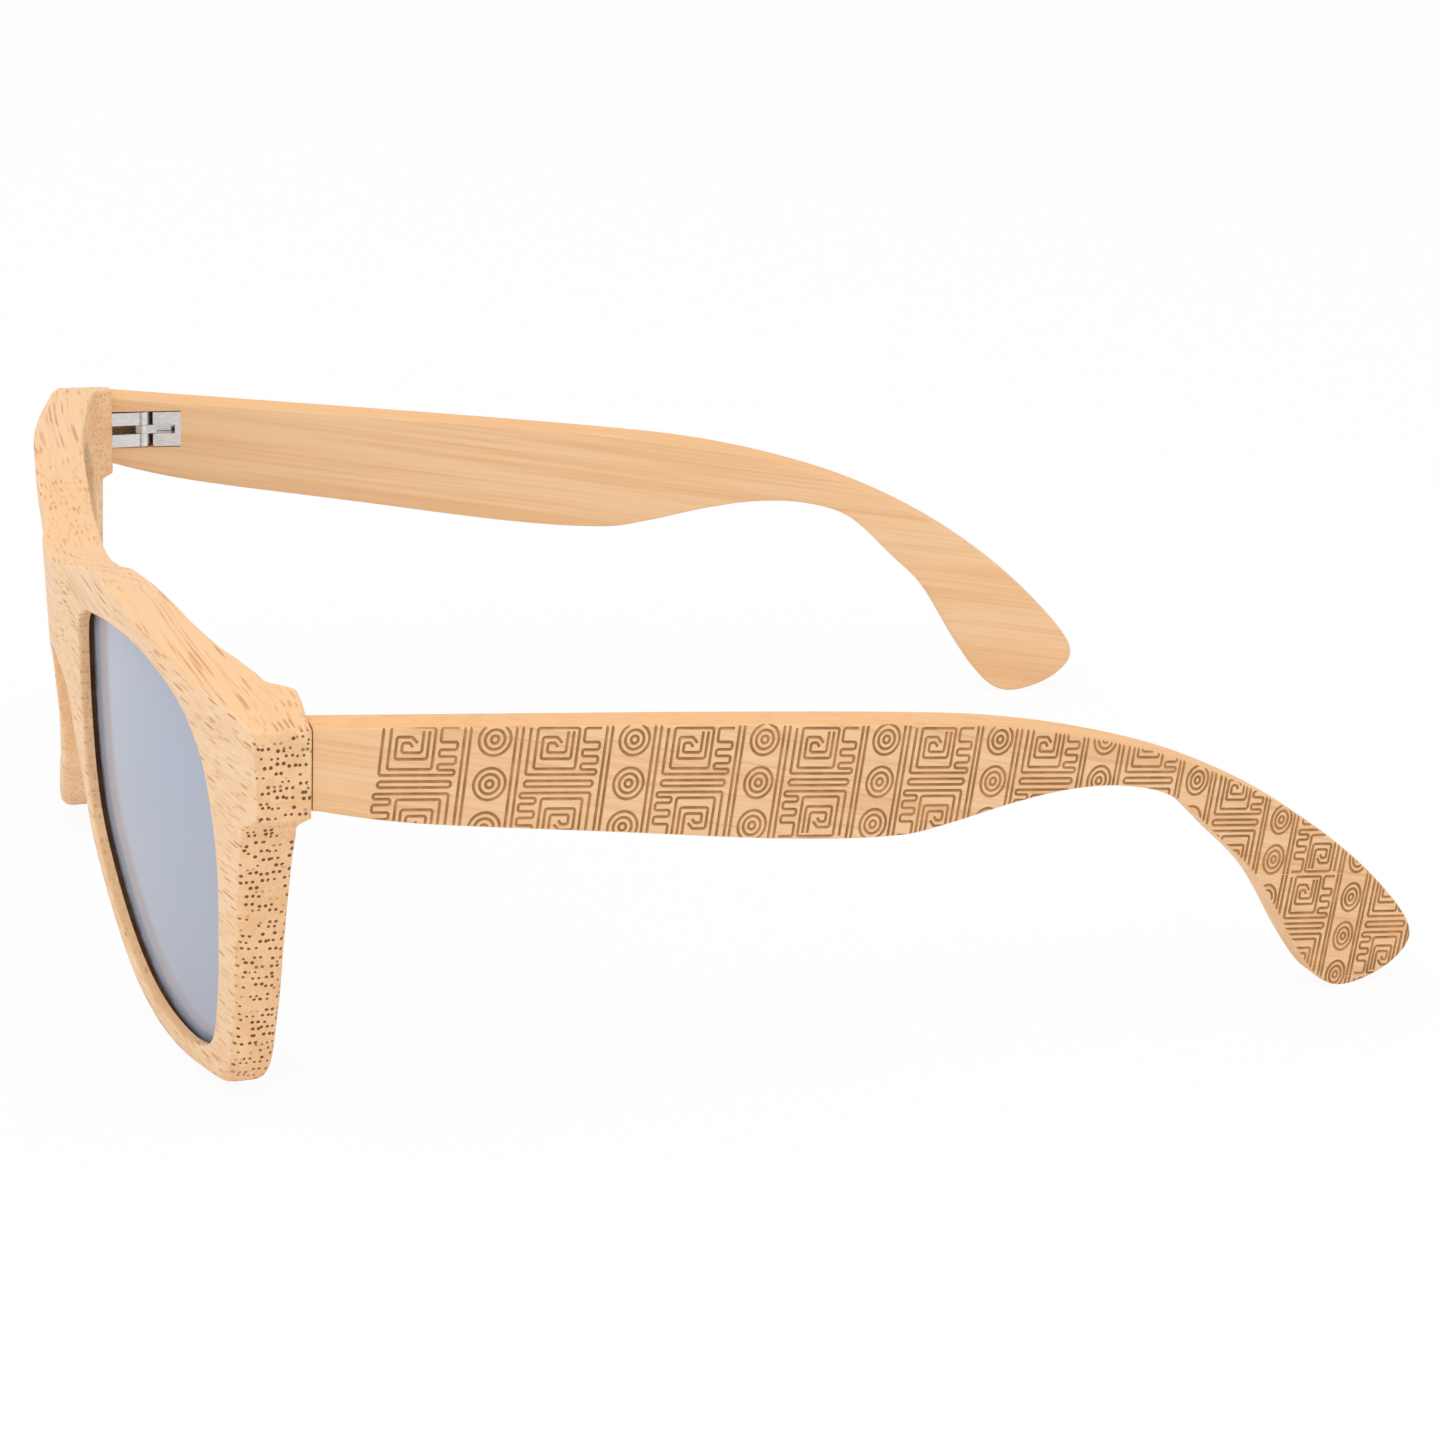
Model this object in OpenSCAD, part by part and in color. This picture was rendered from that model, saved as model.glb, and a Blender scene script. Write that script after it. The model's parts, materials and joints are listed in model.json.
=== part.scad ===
// Wooden sunglasses with a wrapped one-piece front and sprung folding temples.
// Millimetres. +Z is up, the front faces -Y, the wearer's left is +X. The rim bottoms and
// the temple tips stand on Z = 0.

/* [Front] */
// Width of the front across the end pieces
front_width = 141; // [131:1:152]
// Height of the front from brow to rim bottom
front_height = 53.2; // [49:0.1:57]
// Brow height above the hinge centre
brow_rise = 8.5; // [7.8:0.1:9.5]
// Height of the bridge's top above the hinge centre
bridge_rise = 4; // [3:0.2:5]
// Height of the bridge
bridge_height = 13; // [11:0.2:14]
// Angle at which the rims lean back below the brow
face_tilt = 3; // [1:0.2:5]
// Radius of the wrapped front face seen from above
wrap_radius = 235; // [205:5:300]
// Front-to-back thickness at the brow
brow_thick = 6.2; // [5.6:0.1:7.2]
// Front-to-back thickness at the rim bottom
rim_thick = 4.7; // [4.4:0.1:5.4]
// Width of the rim above the lens
rim_top = 3.8; // [3:0.1:5]
// Width of the rim below the lens
rim_bottom = 3.1; // [2.4:0.1:4.5]
// Width of the rim outside the lens
rim_side = 6; // [5:0.1:7]
// Width of the rim beside the nose
rim_nose = 3.4; // [2.6:0.1:4.5]
// How far an end piece stands out past the rim
end_reach = 5; // [4.4:0.1:5.8]
// Distance between the lens openings at the nose
lens_gap = 21.8; // [20:0.2:26]
// Distance between the rims at the nose
nose_gap = 13; // [12:0.2:15]
// Width of the hinge block behind each end piece
block_width = 8.2; // [7.8:0.1:8.8]

/* [Lenses] */
// Lens thickness
lens_thick = 1.8; // [1.4:0.1:2]
// How far the lens sits behind the front face
lens_recess = 2; // [1.6:0.1:2.2]
// Depth of the lens groove in the rim
groove_depth = 0.9; // [0.5:0.1:1.4]
// Open part of the groove in front of the lens
groove_play = 0.35; // [0.2:0.05:0.6]

/* [Nose pads] */
// Width of a pad
pad_width = 4; // [3.4:0.1:4.6]
// Length of a pad along the nose
pad_length = 12.4; // [10:0.2:14]
// How far a pad stands out behind the rim
pad_stand = 4.4; // [3.6:0.2:5.4]
// Angle of a pad to the upright
pad_lean = 18; // [12:1:24]

/* [Temples] */
// Length of a temple from the end piece to its tip, measured flat
temple_length = 146; // [139:0.5:156]
// Thickness of a temple board
temple_thick = 4.6; // [4.4:0.1:5.4]
// Height of a temple at the hinge
temple_root = 9.8; // [9:0.1:11]
// Height of a temple at its belly
temple_belly = 14.2; // [12:0.1:15.5]
// Distance from the end piece to the deepest point of the belly
belly_at = 71.5; // [64:0.5:76]
// Height of a temple at its neck
temple_neck = 6.4; // [5.6:0.1:8]
// Distance from the neck to the tip
ear_length = 48; // [44:0.5:54]
// How far the neck's top lies below the hinge centre
neck_drop = 7; // [5:0.2:9]
// Angle at which each temple leans in
toe_in = 5; // [4:0.2:6.5]
// Gap between the temple's end and the end piece
butt_gap = 0.2; // [0.15:0.05:0.4]

/* [Hinges] */
// Distance from the end piece to the pivot
pivot_back = 4.7; // [4.2:0.1:5.4]
// Radius of the knuckles
knuckle_radius = 1.2; // [1.1:0.05:1.3]
// Height of the hinge
hinge_height = 5; // [4.8:0.1:5.8]
// Thickness of the eye plate
eye_thick = 1.2; // [1:0.1:1.4]
// Radius of the pivot screw
pivot_radius = 0.5; // [0.4:0.05:0.6]
// Travel of the spring
spring_travel = 1; // [0.8:0.1:1.2]

/* [Hidden] */

wood = [0.93, 0.78, 0.57];
steel = [0.78, 0.79, 0.8];
tint = [0.62, 0.68, 0.76];

// Heights are drawn from the hinge centre and lifted by hinge_z.
hw = front_width / 2;
drop = front_height - brow_rise;
hinge_z = drop;
wrap_c = sqrt(wrap_radius * wrap_radius - hw * hw) / cos(face_tilt) - brow_thick;
thick_tilt = atan((brow_thick - rim_thick) / (front_height - 4));
shell_h = 2 * front_height;
slab = brow_thick;

// Smooth curve through a row of points; a and b are the points before the first and after the last.
function bend(p, q, r, s, t) = 0.5 * (2 * q + (r - p) * t + (2 * p - 5 * q + 4 * r - s) * t * t
  + (3 * q - p - 3 * r + s) * t * t * t);
function curve(P, a, b, n) = let (m = len(P)) concat(
  [for (i = [0:m - 2]) for (k = [0:n - 1])
    bend(i == 0 ? a : P[i - 1], P[i], P[i + 1], i == m - 2 ? b : P[i + 2], k / n)], [P[m - 1]]);
function ring(P, n) = let (m = len(P)) [for (i = [0:m - 1]) for (k = [0:n - 1])
  bend(P[(i + m - 1) % m], P[i], P[(i + 1) % m], P[(i + 2) % m], k / n)];
function flip_x(p) = [-p[0], p[1]];
function rev(P) = [for (i = [len(P) - 1:-1:0]) P[i]];

// Lens opening, front view, clockwise from its top: shares of the opening's own width and height.
ox = hw - end_reach - rim_side;
nx = lens_gap / 2;
tz = brow_rise - rim_top;
bz = -drop + rim_bottom;
lens_shape = [[0.576, 1], [0.706, 0.985], [0.809, 0.958], [0.9, 0.9], [0.965, 0.8], [0.998, 0.6],
  [0.985, 0.4], [0.955, 0.2], [0.905, 0.065], [0.79, 0.008], [0.63, 0], [0.49, 0.022], [0.366, 0.07],
  [0.249, 0.14], [0.138, 0.23], [0.05, 0.325], [0.006, 0.45], [0.004, 0.62], [0.02, 0.75],
  [0.05, 0.875], [0.125, 0.935], [0.251, 0.965], [0.385, 0.989]];
open_row = [for (p = lens_shape) [nx + p[0] * (ox - nx), bz + p[1] * (tz - bz)]];
opening = ring(open_row, 4);

// Front view of one half: the brow, the end piece, then the rim's outside, which is the opening
// pushed outwards by the rim's width, and the underside of the bridge.
bridge_low = bridge_rise - bridge_height;
root_top = temple_root / 2 + 0.1;
root_low = -root_top;
side_x = hw - end_reach;
function push(i, w) = let (d = open_row[i + 1] - open_row[i - 1]) open_row[i] + w * [-d[1], d[0]] / norm(d);
nose_x = nose_gap / 2;
block_low = 1;
block_height = root_top - root_low + block_low + 2.4;
top_row = [[0, bridge_rise], [9, bridge_rise + 0.9], [19, brow_rise - 0.9], [30.5, brow_rise],
  [46.5, brow_rise - 1.1], [hw - 12, brow_rise - 2.3], [hw - 5.5, brow_rise - 2.65],
  [hw - 2, brow_rise - 3.2], [hw - 0.2, root_top - 0.1], [hw, root_top - 1.6]];
rim_row = [[side_x + 1.3, root_low - 2.8], push(5, rim_side), push(6, rim_side - 0.8),
  push(7, rim_side - 1.1), push(8, rim_side - 0.8), push(9, rim_bottom), push(10, rim_bottom),
  push(11, rim_bottom), push(12, rim_bottom), push(13, rim_nose - 0.4), push(14, rim_nose),
  push(15, rim_nose + 0.4), [nose_x + 0.4, bridge_low - 11.6], [nose_x - 0.9, bridge_low - 3.8],
  [nose_x - 2.6, bridge_low - 1.1], [0, bridge_low]];
half_edge = concat(curve(top_row, flip_x(top_row[1]), [hw, -2], 5), [[hw, root_low + 0.4],
  [hw - 0.5, root_low - 0.6]], curve(rim_row, [side_x + 3, root_low + 1], flip_x(rim_row[14]), 4));

// Temple outline: distance from the end piece, then height from the hinge centre.
tl = temple_length;
tr = temple_root / 2;
slope = 0.097;
belly_u = tr - slope * belly_at - 0.2;
neck_at = tl - ear_length;
neck_low = -neck_drop - temple_neck;
tip_z = -hinge_z;
belly_low = belly_u - temple_belly;
temple_row = [[0, tr], [24, tr - slope * 24], [48, tr - slope * 48], [belly_at, belly_u],
  [belly_at + 14, belly_u - 1.9], [neck_at, -neck_drop], [tl - 36, -neck_drop - 4],
  [tl - 24, -neck_drop - 9.9], [tl - 13, -neck_drop - 17.4], [tl - 4.4, -neck_drop - 25.2],
  [tl, tip_z + 6.3], [tl - 2.4, tip_z + 2.2], [tl - 8.5, tip_z], [tl - 13, tip_z + 1.4],
  [tl - 17.4, tip_z + 6.8], [tl - 23.6, tip_z + 16.4], [tl - 30, tip_z + 22.8],
  [tl - 36.6, neck_low - 2.6], [tl - 43.4, neck_low - 0.3], [neck_at - 3, neck_low + 0.2],
  [neck_at - 11, neck_low - 0.7], [belly_at + 7, belly_low + 0.7], [belly_at, belly_low],
  [belly_at - 14, belly_low + 1.3], [belly_at - 36.5, belly_low + 4.9], [12, -tr - 2.9], [0, -tr]];
temple_edge = curve(temple_row, [-5, tr + 5 * slope], [-8, -tr + 1.8], 4);

// Hinge layout. In the temple's frame x is outwards from the pivot, y runs back along the temple.
inset = knuckle_radius - 0.05;
outer = temple_thick - inset;
pivot_x = hw - 0.6 - outer / cos(toe_in) - pivot_back * tan(toe_in);
pivot_y = pivot_back;
hh = hinge_height / 2;
eh = eye_thick / 2;
run = 0.05;
rod_x = 1;
rod_r = 0.4;
box_y0 = knuckle_radius + 0.3;
box_y1 = box_y0 + 3.9;
tube_y1 = box_y1 + 9.6;
tube_r = 1.25;
coil_r = 0.66;
wire_r = 0.14;
nut_y0 = tube_y1 - 1.6 - spring_travel;
coils = 6;
coil_y0 = box_y1 + wire_r;
coil_y1 = nut_y0 - wire_r;
plate_t = 1.2;
plate_h = hinge_height + 2.2;
arm = knuckle_radius - 0.1;
screw_x = pivot_x + 2.25;
screw_edge = 1.5;
screw_r = 0.45;
screw_long = plate_t + 2.8;
head_r = 1;
head_h = 0.54;
slot_w = 0.24;
pivot_head = 0.84;
fit = 0.02;
tip_xy = [for (p = temple_edge) (p[0] - pivot_back) * cos(toe_in) + outer * sin(toe_in)];
// The row's origin is the middle of the whole box, on the ground.
y_front = wrap_c - wrap_radius / cos(face_tilt) - bridge_rise * tan(face_tilt);
y_back = pivot_y + max(tip_xy);
y_mid = (y_front + y_back) / 2;
echo(pivot = [pivot_x, pivot_y - y_mid, hinge_z], y_front = y_front - y_mid, y_back = y_back - y_mid);
echo(temple_axis = [-sin(toe_in), cos(toe_in)], coil_gap = (coil_y1 - coil_y0) / coils - 2 * wire_r);

module along_y(y0, y1) {
  translate([0, y1, 0]) rotate([90, 0, 0]) linear_extrude(height = y1 - y0) children();
}
module half_plan() { polygon(half_edge); }
module whole_plan() {
  polygon(concat(half_edge, [for (p = rev(half_edge)) if (p[0] > 0.001) flip_x(p)]));
}
module front_round(d) {
  translate([0, wrap_c, 0]) rotate([face_tilt, 0, 0]) translate([0, 0, -shell_h])
    cylinder(r = wrap_radius - d, h = 2 * shell_h, $fn = 240);
}
// Back of the front: the same round, leaned less, so that the brow is thicker than the rim bottom.
module back_round(extra = 0) {
  translate([0, wrap_c, 0]) rotate([face_tilt - thick_tilt, 0, 0]) translate([0, 0, -shell_h])
    cylinder(r = wrap_radius - brow_thick - extra, h = 2 * shell_h, $fn = 240);
}
module both() {
  children();
  mirror([1, 0, 0]) children();
}
module place() { translate([0, -y_mid, hinge_z]) children(); }
module side(left) {
  place() if (left) children(); else mirror([1, 0, 0]) children();
}
// Moves a child from the temple's own frame to its place on the left.
module at_pivot() { translate([pivot_x, pivot_y, 0]) rotate([0, 0, toe_in]) children(); }

module lens_blank(grow, d0, d1) {
  intersection() {
    along_y(y_front - slab, slab) offset(delta = grow) polygon(opening);
    difference() { front_round(d0); front_round(d1); }
  }
}

module front_frame() {
  color(wood) place() difference() {
    union() {
      intersection() {
        along_y(y_front - slab, slab) whole_plan();
        difference() { front_round(0); back_round(); }
      }
      both() intersection() {
        along_y(y_front - slab, 0) intersection() {
          half_plan();
          translate([hw - block_width, root_low - block_low]) square([block_width + 1, block_height]);
        }
        front_round(0);
      }
    }
    both() along_y(y_front - 2 * slab, 2 * slab) polygon(opening);
    both() lens_blank(groove_depth + run, lens_recess - groove_play, lens_recess + lens_thick + run);
    both() translate([hw - block_width, 0, root_low - block_low]) cube([block_width + 1, slab, hinge_z]);
    both() plate_shape(run);
    both() screw_spots() cylinder(r = screw_r + run, h = screw_long + run, $fn = 24);
  }
}

module lens(left) { color(tint) side(left) lens_blank(groove_depth, lens_recess, lens_recess + lens_thick); }

// Nose pad: an almond along the nose side of the rim, domed, and seated on the rim's back.
module nose_pad(left) {
  dome_r = 9;
  side_r = (pad_length * pad_length + pad_width * pad_width) / (4 * pad_width);
  pad_x = nose_x + 2.5;
  pad_z = bridge_low - 10.6;
  pad_y = wrap_c - sqrt(pow(wrap_radius - brow_thick, 2) - pad_x * pad_x) / cos(face_tilt - thick_tilt)
    - pad_z * tan(face_tilt - thick_tilt);
  color(wood) side(left) intersection() {
    translate([pad_x, pad_y, pad_z]) rotate([0, -pad_lean, 0]) intersection() {
      translate([side_r - pad_width / 2, -3, 0]) rotate([-90, 0, 0]) cylinder(r = side_r, h = 12, $fn = 72);
      translate([pad_width / 2 - side_r, -3, 0]) rotate([-90, 0, 0]) cylinder(r = side_r, h = 12, $fn = 72);
      translate([0, pad_stand - dome_r, 0]) sphere(r = dome_r, $fn = 72);
    }
    back_round(fit);
  }
}

module plate_shape(grow) {
  translate([pivot_x - knuckle_radius - plate_t - grow, -plate_t - grow, -plate_h / 2 - grow])
    cube([screw_x + screw_edge - pivot_x + knuckle_radius + plate_t + 2 * grow, plate_t + 2 * grow,
      plate_h + 2 * grow]);
}
module screw_spots() {
  for (z = [-1, 1]) translate([screw_x, 0, z * (plate_h / 2 - screw_edge)]) rotate([90, 0, 0]) children();
}

module hinge_fork(left) {
  color(steel) side(left) difference() {
    union() {
      plate_shape(0);
      for (z = [-1, 1]) translate([pivot_x, 0, z * (hh + eh + run) / 2]) {
        translate([0, pivot_y, -(hh - eh - run) / 2]) cylinder(r = knuckle_radius, h = hh - eh - run, $fn = 48);
        translate([-arm, -0.2, -(hh - eh - run) / 2]) cube([2 * arm, pivot_y + 0.2, hh - eh - run]);
      }
    }
    translate([pivot_x, pivot_y, -hh - 1]) cylinder(r = pivot_radius + run, h = 2 * hh + 2, $fn = 36);
    translate([pivot_x, pivot_y, hh - head_h - 3 * fit])
      cylinder(r = pivot_head + run, h = 1, $fn = 36);
    screw_spots() {
      translate([0, 0, -1]) cylinder(r = screw_r + run, h = plate_t + 2, $fn = 24);
      translate([0, 0, -fit]) cylinder(r1 = head_r + run, r2 = screw_r + run, h = head_h + fit, $fn = 36);
    }
  }
}

module fork_screws(left) {
  color(steel) side(left) screw_spots() difference() {
    union() {
      translate([0, 0, fit]) cylinder(r1 = head_r, r2 = screw_r, h = head_h, $fn = 36);
      translate([0, 0, head_h / 2]) cylinder(r = screw_r, h = screw_long - head_h / 2, $fn = 24);
    }
    translate([-head_r, -slot_w / 2, -head_h / 2]) cube([2 * head_r, slot_w, head_h]);
  }
}

module pivot_screw(left) {
  color(steel) side(left) translate([pivot_x, pivot_y, 0]) difference() {
    union() {
      translate([0, 0, -hh]) cylinder(r = pivot_radius, h = 2 * hh - head_h / 2, $fn = 36);
      translate([0, 0, hh - fit - head_h]) cylinder(r = pivot_head, h = head_h, $fn = 36);
    }
    translate([-pivot_head - fit, -slot_w / 2, hh - head_h / 2])
      cube([2 * (pivot_head + fit), slot_w, head_h]);
  }
}

module hinge_slider(left) {
  color(steel) side(left) at_pivot() {
    difference() {
      translate([0, 0, -eh]) linear_extrude(height = eye_thick) union() {
        circle(r = knuckle_radius, $fn = 48);
        translate([-knuckle_radius * 0.9, 0]) square([knuckle_radius * 1.8, box_y0 + 0.5]);
        translate([rod_x - 0.62, 0]) square([1.2, box_y1 - 1.2]);
      }
      translate([0, 0, -2]) cylinder(r = pivot_radius + run, h = 4, $fn = 36);
    }
    translate([rod_x, box_y1 - 1.6, 0]) rotate([-90, 0, 0])
      cylinder(r = rod_r, h = nut_y0 + 1.4 - box_y1 + 1.6, $fn = 24);
  }
}

module spring_housing(left) {
  color(steel) side(left) at_pivot() difference() {
    union() {
      translate([-inset, box_y0, -hh]) cube([inset + rod_x + 1.2, box_y1 - box_y0, 2 * hh]);
      translate([rod_x, box_y1 - 0.5, 0]) rotate([-90, 0, 0])
        cylinder(r = tube_r, h = tube_y1 - box_y1 + 0.5, $fn = 48);
    }
    translate([-inset - 1, box_y0 - 1, -eh - run])
      cube([inset + rod_x + 1.75, box_y1 - box_y0 + 0.2, 2 * eh + 2 * run]);
    translate([rod_x, 0, 0]) rotate([-90, 0, 0]) cylinder(r = rod_r + run, h = tube_y1, $fn = 24);
    translate([rod_x, box_y1, 0]) rotate([-90, 0, 0]) cylinder(r = tube_r - 0.3, h = tube_y1, $fn = 48);
  }
}

// Coil spring: one tube of six sides swept along a helix, closed by its two end faces.
module spring(left) {
  n = 8;
  rows = coils * n;
  pts = [for (i = [0:rows]) let (a = 360 * i / n, y = coil_y0 + (coil_y1 - coil_y0) * i / rows)
    for (k = [0:5]) let (b = 60 * k, r = coil_r + wire_r * cos(b))
      [rod_x + r * cos(a), y + wire_r * sin(b), -r * sin(a)]];
  faces = concat([[for (k = [5:-1:0]) k]], [[for (k = [0:5]) rows * 6 + k]],
    [for (i = [0:rows - 1]) for (k = [0:5]) [i * 6 + k, i * 6 + (k + 1) % 6, i * 6 + 6 + (k + 1) % 6]],
    [for (i = [0:rows - 1]) for (k = [0:5]) [i * 6 + k, i * 6 + 6 + (k + 1) % 6, i * 6 + 6 + k]]);
  color(steel) side(left) at_pivot() polyhedron(points = pts, faces = [for (f = faces) rev(f)]);
}

module stop_nut(left) {
  color(steel) side(left) at_pivot() translate([rod_x, nut_y0, 0]) rotate([-90, 0, 0]) difference() {
    cylinder(r = pivot_head, h = 1, $fn = 36);
    translate([0, 0, -1]) cylinder(r = rod_r + fit / 2, h = 3, $fn = 24);
  }
}

module temple(left) {
  color(wood) side(left) difference() {
    at_pivot() difference() {
      translate([-inset, -pivot_back, 0]) rotate([90, 0, 90]) linear_extrude(height = temple_thick)
        polygon(concat([[-3, tr + 3 * slope], for (p = temple_edge) p, [-3, -tr]]));
      translate([-inset - 2, -pivot_back - 4, -hh - 0.15])
        cube([inset + 2 + 1.8, pivot_back + 4 + box_y0 - 0.05, 2 * hh + 0.3]);
      translate([-inset - 2, 0, -hh - fit])
        cube([inset + 2 + rod_x + 1.2 + fit, box_y1 + fit, 2 * (hh + fit)]);
      translate([rod_x, 0, 0]) rotate([-90, 0, 0]) cylinder(r = tube_r + fit, h = tube_y1 + 0.3, $fn = 48);
    }
    translate([0, butt_gap - slab, -hinge_z]) cube([front_width, slab, 2 * hinge_z]);
  }
}

front_frame();
lens(true);  // lens_left
lens(false);  // lens_right
nose_pad(true);  // nose_pad_left
nose_pad(false);  // nose_pad_right
temple(true);  // temple_left
temple(false);  // temple_right
hinge_fork(true);  // hinge_fork_left
hinge_fork(false);  // hinge_fork_right
fork_screws(true);  // fork_screws_left
fork_screws(false);  // fork_screws_right
pivot_screw(true);  // pivot_screw_left
pivot_screw(false);  // pivot_screw_right
hinge_slider(true);  // hinge_slider_left
hinge_slider(false);  // hinge_slider_right
spring_housing(true);  // spring_housing_left
spring_housing(false);  // spring_housing_right
spring(true);  // spring_left
spring(false);  // spring_right
stop_nut(true);  // stop_nut_left
stop_nut(false);  // stop_nut_right
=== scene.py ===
"""Dresses the wooden sunglasses of model.glb: bamboo front and temples, mirror lenses and small steel hinges.
"""
import json
import math

import bmesh
import bpy
import numpy as np
from bpy.props import FloatProperty, FloatVectorProperty, IntProperty, PointerProperty
from mathutils import Matrix, Vector
from mathutils.geometry import delaunay_2d_cdt


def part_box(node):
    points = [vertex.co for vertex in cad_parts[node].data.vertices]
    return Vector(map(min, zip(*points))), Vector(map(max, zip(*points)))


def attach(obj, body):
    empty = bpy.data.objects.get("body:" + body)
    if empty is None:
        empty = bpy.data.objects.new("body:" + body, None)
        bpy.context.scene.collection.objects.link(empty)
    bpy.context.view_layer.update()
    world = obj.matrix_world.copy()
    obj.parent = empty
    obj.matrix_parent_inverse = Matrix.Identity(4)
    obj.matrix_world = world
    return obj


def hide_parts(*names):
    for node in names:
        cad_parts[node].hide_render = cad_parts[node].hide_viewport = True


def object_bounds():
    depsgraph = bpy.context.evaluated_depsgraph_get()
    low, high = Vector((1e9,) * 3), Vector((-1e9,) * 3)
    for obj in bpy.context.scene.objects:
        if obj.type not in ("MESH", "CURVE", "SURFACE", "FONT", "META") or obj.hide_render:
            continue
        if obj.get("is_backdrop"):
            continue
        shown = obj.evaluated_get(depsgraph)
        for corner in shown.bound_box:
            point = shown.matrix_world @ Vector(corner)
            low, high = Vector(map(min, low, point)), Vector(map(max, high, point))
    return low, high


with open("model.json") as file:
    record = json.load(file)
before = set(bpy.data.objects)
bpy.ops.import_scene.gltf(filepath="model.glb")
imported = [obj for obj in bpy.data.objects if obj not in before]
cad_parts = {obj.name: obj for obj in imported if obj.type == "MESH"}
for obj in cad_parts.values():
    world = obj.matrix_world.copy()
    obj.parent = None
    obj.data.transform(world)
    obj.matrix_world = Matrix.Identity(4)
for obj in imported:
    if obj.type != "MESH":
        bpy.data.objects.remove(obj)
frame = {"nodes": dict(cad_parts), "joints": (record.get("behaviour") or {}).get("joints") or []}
cad_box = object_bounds()

bl_info = {
    "name": "Wooden sunglasses",
    "version": (1, 0, 0),
    "blender": (4, 5, 0),
    "location": "View3D > Sidebar > Sunglasses",
    "description": "Bamboo, mirror lenses and steel for the packed sunglasses frame",
    "category": "Object",
}

# Shapes are worked out in millimetres and written to meshes in metres.
MM = 0.001
joints = {joint["name"]: joint for joint in frame["joints"]}
pivot = np.array(joints["fold_left"]["pos_m"]) / MM
along = np.array(joints["slide_left"]["axis"])
outward = np.array([along[1], -along[0], 0.0])
front_low, front_high = (np.array(corner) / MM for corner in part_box("front_frame"))
temple_low, temple_high = (np.array(corner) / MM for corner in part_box("temple_left"))
half_width = front_high[0]


def cad_points(node):
    """Corners of a CAD node's mesh in millimetres."""
    return np.array([v.co for v in frame["nodes"][node].data.vertices]) / MM


def temple_frame(points):
    """Left-side points as out from the pivot, back along the temple, and up."""
    rel = np.asarray(points) - pivot
    return np.stack([rel @ outward, rel @ along, rel[..., 2]], axis=-1)


def length(name, description, default):
    return FloatProperty(name=name, description=description, default=default, unit="LENGTH", precision=5)


def rotation(name, description, degrees):
    return FloatProperty(name=name, description=description, default=math.radians(degrees), unit="ROTATION")


def number(name, description, default):
    return IntProperty(name=name, description=description, default=default)


def colour(name, description, default):
    return FloatVectorProperty(
        name=name, description=description, default=default, size=3, subtype="COLOR", min=0, max=1)


class FrontSettings(bpy.types.PropertyGroup):
    """Sizes of the wrapped front."""
    wrap_radius: length("Wrap radius", "Radius of the front face seen from above", 0.235)
    brow_thick: length("Brow thickness", "Front to back at the brow", 0.0062)
    rim_thick: length("Rim thickness", "Front to back at the rim bottom", 0.0047)
    bridge_ridge: length("Bridge ridge", "How far the bridge stands out in front of the rims", 0.0012)
    face_tilt: rotation("Face tilt", "Lean of the front: the rims lie behind the brow", 3)
    edge_round: length("Edge rounding", "Rounding of the brow, end pieces and rim sides", 0.00045)
    low_round: length("Lower rounding", "Rounding of the lower rim and the nose side", 0.0015)
    opening_round: length("Opening rounding", "Rounding of the lens opening's edges", 0.0004)
    groove_play: length("Groove play", "Open part of the lens groove in front of the lens", 0.0007)
    groove_depth: length("Groove depth", "Depth of the lens groove in the rim", 0.0009)
    block_width: length("Hinge block width", "Width of the block behind each end piece", 0.0082)
    block_drop: length("Hinge block drop", "Reach of the block below the hinge centre", 0.006)
    butt_gap: length("Butt gap", "Gap between the end piece and the temple", 0.0002)


class TempleSettings(bpy.types.PropertyGroup):
    """Sizes of the temples and their engraving."""
    edge_round: length("Edge rounding", "Rounding of the board's edges", 0.00035)
    pocket_play: length("Pocket play", "Room round the hinge in its pocket", 0.00015)
    pattern_start: length("First circle", "From the pivot back to the first column of circles", 0.0157)
    pattern_height: length("Pattern height", "Middle row of circles above the hinge centre", -0.00395)
    pattern_slope: rotation("Pattern slope", "Fall of the engraving along the temple", 6.2)
    columns: number("Columns", "Columns of circles along the temple", 10)
    period: length("Period", "Distance between the first two columns", 0.0169)
    shrink: length("Shrink", "How much each column's distance is less than the one before", 0.0006)
    ring_rows: number("Circle rows", "Circles above each other", 7)
    ring_gap: length("Circle gap", "Height between circles", 0.0053)
    ring_radius: length("Circle radius", "Radius of the largest of three circles", 0.0019)
    fret_rows: number("Fret rows", "Frets above each other", 3)
    fret_gap: length("Fret gap", "Height between frets", 0.0141)
    tip_shift: length("Tip shift", "Drop of the frets on the ear tip", 0.0056)
    line_width: length("Line width", "Width of an engraved line at the surface", 0.00038)


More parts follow.
